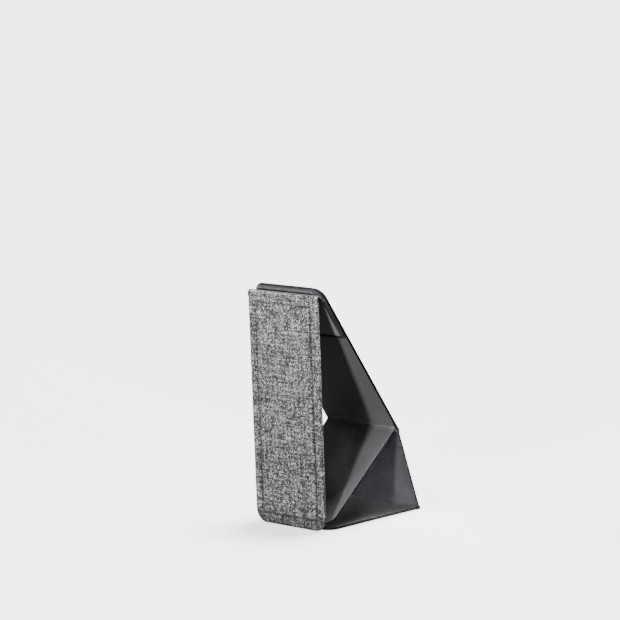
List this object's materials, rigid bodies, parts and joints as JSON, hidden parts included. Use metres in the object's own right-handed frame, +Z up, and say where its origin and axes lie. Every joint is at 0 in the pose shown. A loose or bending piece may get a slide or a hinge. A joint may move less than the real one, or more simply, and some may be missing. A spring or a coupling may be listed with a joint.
{
  "type": "folding phone stand and finger grip",
  "caption": "Narrow folding stand and finger grip that sticks to the back of a phone: a fabric-covered leg and soft leather panels fold out into a prop.",
  "frame": {"origin": "middle of the box's underside, on the table, midway across the panels", "axes": "+X across the panels, +Y from the leg towards the phone, +Z up"},
  "size_m": [0.027, 0.05, 0.0731],
  "materials": {
    "heather_fabric": "woven heather grey",
    "charcoal_leather": "matt fine grain",
    "lining_leather": "matt",
    "stiffener_board": "plain sheet",
    "magnet_plating": "nickel plate",
    "adhesive_foam": "soft foam tape"
  },
  "bodies": {
    "base": {"base_cover": "charcoal_leather", "base_board": "stiffener_board", "adhesive_pad": "adhesive_foam", "hinge_leaf": "heather_fabric", "leaf_lining": "lining_leather", "top_fold": "heather_fabric", "brace_fold": "charcoal_leather", "back_fold": "charcoal_leather"},
    "leg": {"leg_cover": "heather_fabric", "leg_board": "stiffener_board", "leg_magnets": "magnet_plating", "leg_lining": "lining_leather"},
    "brace": {"brace_cover": "charcoal_leather", "brace_board": "stiffener_board", "brace_magnets": "magnet_plating", "brace_lining": "lining_leather"},
    "lower_back": {"back_cover": "charcoal_leather", "back_board": "stiffener_board", "back_lining": "lining_leather", "foot_fold": "charcoal_leather"},
    "foot": {"foot_cover": "charcoal_leather", "foot_board": "stiffener_board", "foot_magnets": "magnet_plating", "foot_lining": "lining_leather"}
  },
  "joints": [
    {"name": "leg_swing", "type": "hinge", "parent": "base", "child": "leg", "pos_m": [0, -0.02397, 0.07042], "axis": [1, 0, 0], "range_deg": [0, 34.9]},
    {"name": "brace_swing", "type": "hinge", "parent": "base", "child": "brace", "pos_m": [0, 0.01224, 0.02651], "axis": [1, 0, 0], "range_deg": [0, 88.8]},
    {"name": "back_swing", "type": "hinge", "parent": "base", "child": "lower_back", "pos_m": [0, 0.01391, 0.02629], "axis": [1, 0, 0], "range_deg": [0, 15.8]},
    {"name": "foot_swing", "type": "hinge", "parent": "lower_back", "child": "foot", "pos_m": [0, 0.02449, 0.00047], "axis": [1, 0, 0], "range_deg": [0, 112.3]}
  ],
  "couplings": [
    {"joint": "brace_swing", "follows": "leg_swing", "ratio": 2.5444},
    {"joint": "back_swing", "follows": "leg_swing", "ratio": 0.45272},
    {"joint": "foot_swing", "follows": "leg_swing", "ratio": 3.2178}
  ]
}
